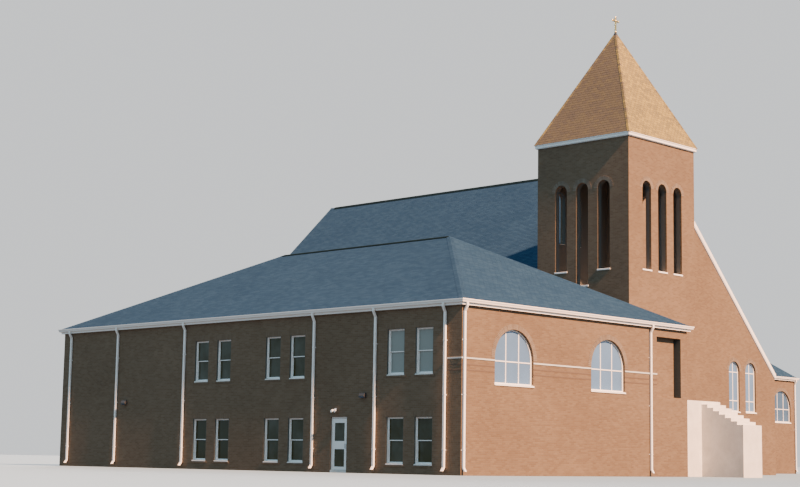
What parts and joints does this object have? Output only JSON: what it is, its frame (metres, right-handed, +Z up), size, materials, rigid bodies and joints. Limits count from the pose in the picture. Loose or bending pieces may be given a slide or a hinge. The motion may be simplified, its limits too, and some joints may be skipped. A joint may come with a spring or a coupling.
{
  "type": "modern church building, half-size model",
  "caption": "Brick church with a two-storey hipped wing, a high gabled nave, a belfry tower with a pyramid roof and a hipped hall; a hinged side door.",
  "frame": {"origin": "middle of the whole building's box, on the ground plane", "axes": "+X to the right along the front, +Y towards the back, +Z up"},
  "size_m": [26.59, 17.265, 10.8887],
  "materials": {
    "brick": "fired reddish tan brick with pale mortar",
    "slate_shingle": "blue-grey roof shingles",
    "tan_shingle": "tan roof shingles",
    "white_trim": "white painted aluminium",
    "window_glass": "grey reflecting glass",
    "dark_bronze": "dark bronze entrance doors",
    "concrete": "cast concrete",
    "gilt": "gold coloured metal"
  },
  "bodies": {
    "building": {"belfry_floor": "concrete", "entrance_steps": "concrete", "hall_front_wall": "brick", "hall_front_window_1": "window_glass", "hall_front_window_2": "window_glass", "hall_front_window_3": "window_glass", "hall_gutter": "white_trim", "hall_lower_floor": "concrete", "hall_rear_glass_lower": "window_glass", "hall_rear_glass_upper": "window_glass", "hall_rear_wall": "brick", "hall_right_glass_lower": "window_glass", "hall_right_glass_upper": "window_glass", "hall_right_wall": "brick", "hall_roof": "slate_shingle", "hall_upper_floor": "concrete", "nave_floor": "concrete", "nave_front_gable": "brick", "nave_front_window_1": "window_glass", "nave_front_window_2": "window_glass", "nave_left_wall": "brick", "nave_rake_front": "white_trim", "nave_rake_rear": "white_trim", "nave_rear_gable": "brick", "nave_rear_window_1": "window_glass", "nave_rear_window_2": "window_glass", "nave_rear_window_3": "window_glass", "nave_right_wall": "brick", "nave_roof_left": "slate_shingle", "nave_roof_right": "slate_shingle", "side_door_frame": "white_trim", "side_door_sill": "concrete", "tower_cornice": "white_trim", "tower_cross": "gilt", "tower_entrance_doors": "dark_bronze", "tower_entrance_floor": "concrete", "tower_front_wall": "brick", "tower_left_wall": "brick", "tower_rear_wall": "brick", "tower_right_wall": "brick", "tower_roof": "tan_shingle", "wing_front_wall": "brick", "wing_front_window_1": "window_glass", "wing_front_window_2": "window_glass", "wing_gutter": "white_trim", "wing_left_glass_lower_back": "window_glass", "wing_left_glass_lower_front": "window_glass", "wing_left_glass_upper": "window_glass", "wing_left_wall_back": "brick", "wing_left_wall_front": "brick", "wing_left_wall_over_door": "brick", "wing_lower_floor": "concrete", "wing_rear_glass_lower": "window_glass", "wing_rear_glass_upper": "window_glass", "wing_rear_wall": "brick", "wing_right_wall": "brick", "wing_roof": "slate_shingle", "wing_upper_floor": "concrete"},
    "side_door": {"side_door": "white_trim"}
  },
  "joints": [
    {"name": "side_door_hinge", "type": "hinge", "parent": "building", "child": "side_door", "pos_m": [-13.151, -4.575, 0.55], "axis": [0, 0, -1], "range_deg": [0, 90]}
  ]
}
